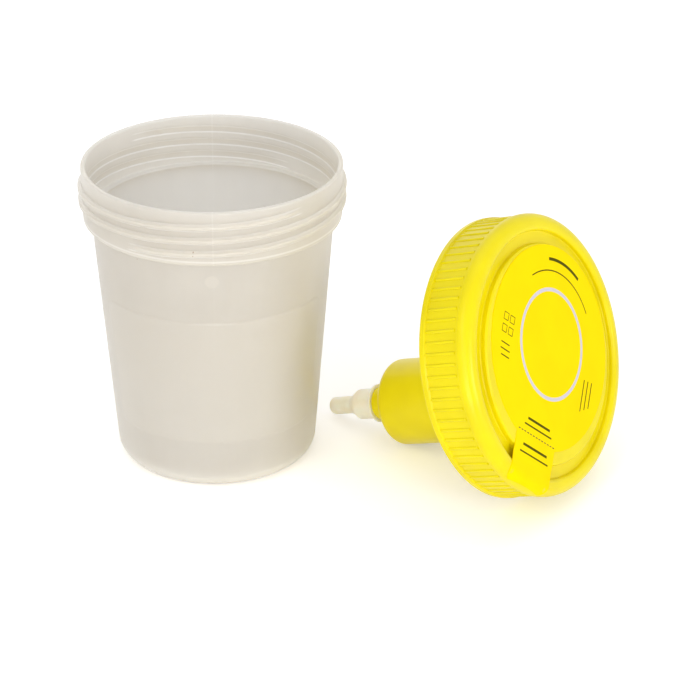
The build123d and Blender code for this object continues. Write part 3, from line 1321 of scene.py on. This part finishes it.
@dataclass
class Lid:
    """Screw lid with its tube well, spout, needle and label, lying on its skirt and its well."""

    height: float = 15.0
    skirt_bore: float = 35.3
    skirt_wall: float = 0.9
    band_depth: float = 0.6
    band_slope: float = 0.3
    band_top: float = 3.5
    edge_band: float = 1.6
    edge_rounding: float = 0.5
    crown_rounding: float = 3.1
    crown_inner_rounding: float = 1.1
    groove_outer_radius: float = 32.2
    groove_width: float = 3.4
    groove_depth: float = 1.8
    disc_rounding: float = 0.6
    plate: float = 1.4
    plug_radius: float = 32.45
    plug_wall: float = 1.1
    plug_depth: float = 2.8
    rib_gap: float = 0.6
    thread_foot: float = -13.3
    thread_relief: float = -0.8
    well_offset: float = 12.1
    well_radius: float = 11.75
    well_wall: float = 1.2
    well_depth: float = 53.6
    well_bottom: float = 1.3
    well_rounding: float = 2.2
    well_chamfer: float = 0.5
    boss_radius: float = 4.55
    boss_length: float = 6.7
    boss_bore: float = 3.0
    spout_reach: float = 77.0
    spout_radius: float = 2.45
    spout_rounding: float = 1.2
    spout_bore: float = 0.9
    hub_radius: float = 2.95
    flange_radius: float = 5.3
    flange: float = 0.7
    barrel_radius: float = 4.2
    barrel_length: float = 5.9
    cone_length: float = 2.6
    bead_radius: float = 3.6
    bead_height: float = 1.1
    stem_radius: float = 1.9
    stem_height: float = 2.9
    needle_radius: float = 0.45
    needle_socket: float = 1.7
    film: float = 0.15
    label_radius: float = 26.9
    label_offset: float = 1.7
    tab_width: float = 17.8
    tab_reach: float = 36.0
    tab_rounding: float = 2.5
    tab_angle: float = -146.0
    tear_line: float = 22.9
    film_sag: float = 0.12
    film_cell: float = 0.9
    film_margin: float = 0.4
    slit_inset: float = 0.8
    disc_steps: int = 120
    edge_steps: int = 12
    corner_steps: int = 8
    fine_from: int = 30
    face_x: float = 87.6
    face_y: float = -24.0
    spout_heading: float = 147.0
    roll: float = 13.0
    columns: int = 288
    well_columns: int = 144
    spout_columns: int = 96
    thread_rows: float = 0.25
    plain_rows: float = 6.0
    well_rows: float = 12.0
    ribs: RibRing = field(default_factory=RibRing)
    slits: SlitRow = field(default_factory=SlitRow)
    thread: ScrewThread = field(default_factory=ScrewThread)

    @property
    def band_radius(self) -> float:
        """Outside radius of the recessed band between the ribs."""
        return self.skirt_bore + self.skirt_wall

    @property
    def radius(self) -> float:
        """Outside radius of the lid."""
        return self.band_radius + self.band_depth

    @property
    def contact(self) -> float:
        """Depth below the face at which the skirt touches the floor."""
        return self.height - self.edge_rounding * 0.6

    def resting_tilt(self) -> float:
        """Tilt of the lid's axis as it lies on its skirt and on the well's bottom edge.

        Returns:
            The angle above the level, in radians.
        """
        drop = self.well_offset * math.cos(math.radians(self.roll))
        across = self.radius - (drop + self.well_radius - self.well_rounding)
        along = self.well_depth - self.well_rounding - self.contact
        return math.acos(self.well_rounding / math.hypot(across, along)) - math.atan2(along, across)

    def place(self) -> Matrix:
        """Work out how the lid lies.

        Returns:
            From the lid's own frame in millimetres to the part's frame in metres.
        """
        tilt = self.resting_tilt()
        facing = math.radians(self.spout_heading + 180.0)
        rise = self.contact * math.sin(tilt) + self.radius * math.cos(tilt)
        level_share = math.cos(tilt)
        outward = Vector((math.cos(facing) * level_share, math.sin(facing) * level_share, math.sin(tilt)))
        level = Vector((-math.sin(facing), math.cos(facing), 0.0))
        axes = Matrix((level, outward.cross(level), outward)).transposed().to_4x4()
        move = Matrix.Translation(Vector((self.face_x, self.face_y, rise)) * MM)
        return move @ axes @ Matrix.Rotation(math.radians(self.roll), 4, "Z") @ Matrix.Scale(MM, 4)

    def reading_place(self) -> Matrix:
        """From the label's reading frame, x along its rules and y away from its tab, to the part's frame."""
        return self.place() @ Matrix.Rotation(math.radians(self.tab_angle + 90.0), 4, "Z")

    def about_well(self, item: bpy.types.Object) -> bpy.types.Object:
        """Move a piece from the lid's axis to the well's axis."""
        item.data.transform(Matrix.Translation((0.0, -self.well_offset, 0.0)))
        return item

    def crown_outline(self) -> list[Point]:
        """Section of the plate, disc, groove, crown, skirt and plug seal.

        Returns:
            Radius and height of each point.
        """
        under = -(self.groove_depth + self.plate)
        disc = self.groove_outer_radius - self.groove_width
        band_foot = self.edge_band - self.height
        corners = [
            (0, 0, 0),
            (disc, 0, self.disc_rounding),
            (disc, -self.groove_depth, 0.4),
            (self.groove_outer_radius, -self.groove_depth, 0.4),
            (self.groove_outer_radius, 0, self.crown_inner_rounding),
            (self.radius, 0, self.crown_rounding),
            (self.radius, -self.band_top, 0.15),
            (self.band_radius, -self.band_top - self.band_slope, 0.15),
            (self.band_radius, band_foot + self.band_slope, 0.15),
            (self.radius, band_foot, 0.2),
            (self.radius, -self.height, self.edge_rounding),
            (self.skirt_bore, -self.height, 0.35),
            (self.skirt_bore, under, 0.4),
            (self.plug_radius, under, 0.3),
            (self.plug_radius, under - self.plug_depth, 0.35),
            (self.plug_radius - self.plug_wall, under - self.plug_depth, 0.35),
            (self.plug_radius - self.plug_wall, under, 0.3),
            (disc - self.plate, under, 0.3),
            (disc - self.plate, -self.plate, 0.5),
            (0, -self.plate, 0),
        ]
        return with_rows(rounded_outline(corners), self.row_spacing)

    def row_spacing(self, height: float) -> float:
        """Longest step between rows at a height."""
        inside_skirt = -self.height < height < -(self.groove_depth + self.plate)
        return self.thread_rows if inside_skirt else self.plain_rows

    def relief(self, radius: float, height: float) -> float:
        """Share of the thread's relief at a point of the outline."""
        on_bore = abs(radius - self.skirt_bore) < 0.05 and height > 0.4 - self.height
        return self.thread_relief if on_bore and height < -(self.groove_depth + self.plate) - 0.5 else 0.0

    def well_outline(self) -> list[Point]:
        """Section of the well's outside, with the boss that holds the spout.

        Returns:
            Radius and height of each point.
        """
        end = -(self.well_depth + self.boss_length)
        corners = [
            (0, -self.plate / 2, 0),
            (self.well_radius, -self.plate / 2, 0),
            (self.well_radius, -self.well_depth, self.well_rounding),
            (self.boss_radius, -self.well_depth, 0.4),
            (self.boss_radius, end, 0.3),
            (0, end, 0),
        ]
        return with_rows(rounded_outline(corners, 8.0), lambda height: self.well_rows)

    def hollow_outline(self) -> list[Point]:
        """Section of the well's hollow and of the bore through its boss.

        Returns:
            Radius and height of each point.
        """
        inside = self.well_radius - self.well_wall
        floor = -(self.well_depth - self.well_bottom)
        end = -(self.well_depth + self.boss_length + self.plate)
        corners = [
            (0, self.plate, 0),
            (inside + self.well_chamfer, self.plate, 0),
            (inside + self.well_chamfer, 0, 0),
            (inside, -self.well_chamfer, 0),
            (inside, floor, self.well_rounding - self.well_wall),
            (self.boss_bore, floor, 0.2),
            (self.boss_bore, end, 0),
            (0, end, 0),
        ]
        return with_rows(rounded_outline(corners), lambda height: self.well_rows)

    def build_shell(self, material: bpy.types.Material) -> None:
        """Build the moulding and its grip ribs.

        Args:
            material: Their finish.
        """
        shell = lathe("lid_moulding", self.crown_outline(), even_angles(self.columns), self.relief)
        self.thread.raise_on(shell, self.thread_foot, material)
        angles = even_angles(self.well_columns)
        combine(shell, self.about_well(lathe("well", self.well_outline(), angles)), "UNION")
        combine(shell, self.about_well(lathe("hollow", self.hollow_outline(), angles)), "DIFFERENCE")
        finish_piece(shell, self.place(), material, Body.LID, Slot.YELLOW, ["lid_shell"])
        foot = self.edge_band - self.height
        head = -self.band_top - self.band_slope - self.rib_gap
        ribs = self.ribs.build(self.band_radius, foot, head, material)
        finish_piece(ribs, self.place(), material, Body.LID, Slot.YELLOW)

    def build_hub(self, material: bpy.types.Material) -> None:
        """Build the spout with the stem that holds the needle.

        Args:
            material: Its finish.
        """
        floor = -(self.well_depth - self.well_bottom)
        boss_end = -(self.well_depth + self.boss_length)
        flange_end = boss_end - self.flange
        barrel_end = flange_end - self.barrel_length
        cone_end = barrel_end - self.cone_length
        bead_top = floor + self.bead_height
        stem_top = bead_top + self.stem_height
        corners = [
            (self.needle_radius, stem_top, 0.1),
            (self.stem_radius, stem_top, 0.3),
            (self.stem_radius, bead_top, 0.2),
            (self.bead_radius, bead_top, 0.4),
            (self.bead_radius, floor, 0.0),
            (self.hub_radius, floor, 0.0),
            (self.hub_radius, boss_end, 0.0),
            (self.flange_radius, boss_end, 0.15),
            (self.flange_radius, flange_end, 0.3),
            (self.barrel_radius, flange_end, 0.35),
            (self.barrel_radius, barrel_end, 0.7),
            (self.spout_radius, cone_end, 0.5),
            (self.spout_radius, -self.spout_reach, self.spout_rounding),
            (self.spout_bore, -self.spout_reach, 0.2),
            (self.spout_bore, boss_end - self.needle_socket, 0.0),
            (self.needle_radius, boss_end - self.needle_socket, 0.0),
        ]
        outline = with_rows(rounded_outline(corners, 8.0), lambda height: self.plain_rows, guard=0.08)
        hub = self.about_well(lathe("inlet_spout", outline, even_angles(self.spout_columns)))
        finish_piece(hub, self.place(), material, Body.LID, Slot.CREAM, ["needle_hub"])

    def label_outline(self) -> list[Vector]:
        """Outline of the label, with its tab along +X, counter-clockwise.

        Returns:
            Its points about the lid's axis.
        """
        half = self.tab_width / 2
        corner = Vector((self.tab_reach - self.tab_rounding, half - self.tab_rounding))
        first = math.asin(half / self.label_radius)
        points = []
        for index in range(self.disc_steps + 1):
            angle = first + (TURN - 2 * first) * index / self.disc_steps
            around = Vector((math.cos(angle), math.sin(angle))) * self.label_radius
            points.append(around - Vector((self.label_offset, 0.0)))
        start = points[-1].x
        run = (corner.x - start) / self.edge_steps
        inner_steps = range(1, self.edge_steps)
        points += [Vector((start + run * k, -half)) for k in inner_steps]
        points += self.tab_corner(Vector((corner.x, -corner.y)), -math.pi / 2)
        points += [Vector((self.tab_reach, corner.y * (2 * k / self.edge_steps - 1))) for k in inner_steps]
        points += self.tab_corner(corner, 0.0)
        points += [Vector((corner.x - run * k, half)) for k in inner_steps]
        return points

    def tab_corner(self, centre: Vector, first: float) -> list[Vector]:
        """Quarter round at a corner of the tab.

        Args:
            centre: Centre of the round.
            first: Angle at which it starts.

        Returns:
            Its points.
        """
        angles = [first + math.pi / 2 * index / self.corner_steps for index in range(self.corner_steps + 1)]
        return [centre + Vector((math.cos(angle), math.sin(angle))) * self.tab_rounding for angle in angles]

    def film_grid(self) -> Iterator[Vector]:
        """Staggered points inside the label's outline, closer together on the tab, where it folds.

        Yields:
            The points.
        """
        half = self.tab_width / 2
        reach = math.ceil(self.tab_reach / self.film_cell)
        for row in range(-reach, reach + 1):
            y = row * self.film_cell
            for column in range(-reach, 2 * reach + self.fine_from):
                steps = column if column < self.fine_from else (column + self.fine_from) / 2
                x = (steps + (0.5 if row % 2 else 0.0)) * self.film_cell
                on_disc = math.hypot(x + self.label_offset, y) < self.label_radius - self.film_margin
                on_tab = 0 < x < self.tab_reach - self.film_margin and abs(y) < half - self.film_margin
                in_corner = x > self.tab_reach - self.tab_rounding and abs(y) > half - self.tab_rounding
                if on_disc or (on_tab and not in_corner):
                    yield Vector((x, y))

    def film_height(self, radius: float) -> float:
        """Height of the film's underside at a distance from the lid's axis.

        Args:
            radius: Distance from the axis.

        Returns:
            Its height above the disc.
        """
        disc = self.groove_outer_radius - self.groove_width - self.disc_rounding
        crown_start = self.groove_outer_radius + self.crown_inner_rounding
        crown_end = self.radius - self.crown_rounding
        if radius < disc:
            return 0.0
        if radius < crown_start:
            return -self.film_sag * math.sin(math.pi * (radius - disc) / (crown_start - disc)) ** 2
        beyond = max(0.0, radius - crown_end)
        return math.sqrt(max(0.0, self.crown_rounding ** 2 - beyond ** 2)) - self.crown_rounding

    def build_label(self, film: bpy.types.Material, slit: bpy.types.Material) -> None:
        """Build the label film, folded over the crown at its tab, and its tear line.

        Args:
            film: Finish of the film.
            slit: Finish of the slits.
        """
        outline = self.label_outline()
        count = len(outline)
        edges = [(k, (k + 1) % count) for k in range(count)]
        points = [*outline, *self.film_grid()]
        flat, _, faces, *_ = delaunay_2d_cdt(points, edges, [list(range(count))], 1, 1e-5)
        vertices = [(p.x, p.y, self.film_height(p.length)) for p in flat]
        mesh = bpy.data.meshes.new("label_film")
        mesh.from_pydata(vertices, [], [tuple(face) for face in faces])
        work = bmesh.new()
        work.from_mesh(mesh)
        for face in work.faces:
            if face.normal.z < 0:
                face.normal_flip()
        work.to_mesh(mesh)
        work.free()
        label = new_object("label_film", mesh)
        thickness = label.modifiers.new("thickness", "SOLIDIFY")
        thickness.thickness = self.film
        thickness.offset = 1.0
        settled(label)
        turn = Matrix.Rotation(math.radians(self.tab_angle), 4, "Z")
        label.data.transform(turn)
        finish_piece(label, self.place(), film, Body.LID, Slot.FILM, ["label"])
        half = self.tab_width / 2 - self.slit_inset
        start = Vector((self.tear_line, -half, self.film))
        slits = self.slits.build(start, Vector((self.tear_line, half, self.film)), slit)
        slits.data.transform(turn)
        finish_piece(slits, self.place(), slit, Body.LID, Slot.FILM)

    def build(self, nodes: dict[str, bpy.types.Object]) -> None:
        """Build every piece of the lid and dress the ones that stay as packed.

        Args:
            nodes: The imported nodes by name.
        """
        place = self.place()
        film = PrintedFilm(place=self.reading_place())
        self.build_shell(YellowPlastic(place=place).build())
        self.build_hub(CreamPlastic(place=place).build())
        self.build_label(film.build(), SlitShadow(place=place).build())
        inner = {"needle": NeedleSteel(place=place), "needle_sleeve": SleeveRubber(place=place)}
        for name, finish in inner.items():
            nodes[name].data.materials.clear()
            nodes[name].data.materials.append(finish.build())
            LOG.info("%s: dressed as packed", name)


# --------------------------------------------------------------------------- studio


@dataclass(frozen=True)
class Lamp:
    """A square soft light aimed at the object, in metres and watts."""

    name: str
    place: Triple
    width: float
    power: float


@dataclass
class Studio:
    """Pale floor, soft lights and the camera."""

    target: Vector = field(default_factory=lambda: Vector((0.03617, 0.0, 0.028087)))
    elevation: float = 26.94
    distance: float = 0.6178
    lens: float = 117.8
    camera_roll: float = 0.0092
    floor_half: float = 3.0
    floor_tone: float = 0.93
    floor_glow: float = 0.3
    world_strength: float = 0.68
    lamps: tuple[Lamp, ...] = (
        Lamp("key", (-0.45, -0.55, 0.8), 0.4, 0.95),
        Lamp("top", (0.1, 0.25, 1.0), 0.8, 0.95),
        Lamp("front", (-0.12, -0.95, 0.3), 0.8, 2.1),
        Lamp("fill", (0.74, -0.55, 0.24), 0.22, 1.9),
        Lamp("back", (-0.3, 0.85, 0.4), 0.8, 1.0),
        Lamp("low", (0.03, -0.32, 0.04), 0.12, 0.18),
    )

    def build_camera(self) -> None:
        """Place the camera at the viewing angle."""
        data = bpy.data.cameras.new("camera")
        data.lens = self.lens
        data.clip_start = 0.01
        camera = bpy.data.objects.new("camera", data)
        bpy.context.scene.collection.objects.link(camera)
        elevation = math.radians(self.elevation)
        back = Vector((0.0, -math.cos(elevation), math.sin(elevation)))
        tipped = Euler((math.pi / 2 - elevation, 0.0, 0.0)).to_matrix()
        turned = tipped @ Matrix.Rotation(self.camera_roll, 3, "Z")
        camera.matrix_world = Matrix.Translation(self.target + back * self.distance) @ turned.to_4x4()
        bpy.context.scene.camera = camera

    def add_light(self, lamp: Lamp) -> None:
        """Hang a lamp and aim it at the object.

        Args:
            lamp: Its name, place, width and power.
        """
        data = bpy.data.lights.new(lamp.name, "AREA")
        data.size = lamp.width
        data.energy = lamp.power
        light = bpy.data.objects.new(lamp.name, data)
        light.location = lamp.place
        light.visible_camera = False
        light.rotation_euler = (Vector(lamp.place) - self.target).to_track_quat("Z", "Y").to_euler()
        bpy.context.scene.collection.objects.link(light)

    def seen_share(self, graph: Graph) -> Signal:
        """Tell rays that show the background, directly or in gloss and glass, from all others.

        Args:
            graph: The tree to work in.

        Returns:
            1 for such rays and 0 for others.
        """
        path = graph.node("ShaderNodeLightPath")
        names = ("Is Camera Ray", "Is Glossy Ray", "Is Transmission Ray")
        camera, gloss, glass = (Signal(graph, path.outputs[name]) for name in names)
        return graph.least(camera + gloss + glass, 1.0)

    def build_floor(self) -> None:
        """A plain floor that shows white and keeps the shadow."""
        mesh = bpy.data.meshes.new("floor")
        half = self.floor_half
        corners = [(-half, -half, 0), (half, -half, 0), (half, half, 0), (-half, half, 0)]
        mesh.from_pydata(corners, [], [(0, 1, 2, 3)])
        floor = new_object("floor", mesh)
        material = bpy.data.materials.new("floor")
        graph = fresh_graph(material)
        colour = (self.floor_tone, self.floor_tone, self.floor_tone, 1.0)
        diffuse = graph.signal("ShaderNodeBsdfDiffuse", None, {"Color": colour})
        strength = self.seen_share(graph) * self.floor_glow
        glow = graph.signal("ShaderNodeEmission", None, {"Strength": strength})
        both = graph.signal("ShaderNodeAddShader", None, {0: diffuse, 1: glow})
        graph.node("ShaderNodeOutputMaterial", None, {"Surface": both})
        mesh.materials.append(material)

    def build_world(self) -> None:
        """Even pale light from all round, and white where it is seen."""
        world = bpy.data.worlds.new("world")
        bpy.context.scene.world = world
        graph = fresh_graph(world)
        strength = self.seen_share(graph) * (1.0 - self.world_strength) + self.world_strength
        inputs = {"Color": (1.0, 1.0, 1.0, 1.0), "Strength": strength}
        background = graph.signal("ShaderNodeBackground", None, inputs)
        graph.node("ShaderNodeOutputWorld", None, {"Surface": background})

    def build(self) -> None:
        """Build the whole studio."""
        bpy.context.scene.view_settings.view_transform = "Standard"
        self.build_camera()
        self.build_floor()
        self.build_world()
        for lamp in self.lamps:
            self.add_light(lamp)


def main() -> None:
    """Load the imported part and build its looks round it."""
    logging.basicConfig(level=logging.INFO, format="%(message)s")
    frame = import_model()
    Studio().build()
    Cup().build(NaturalPlastic().build())
    Lid().build(frame["nodes"])


if __name__ == "__main__":
    main()
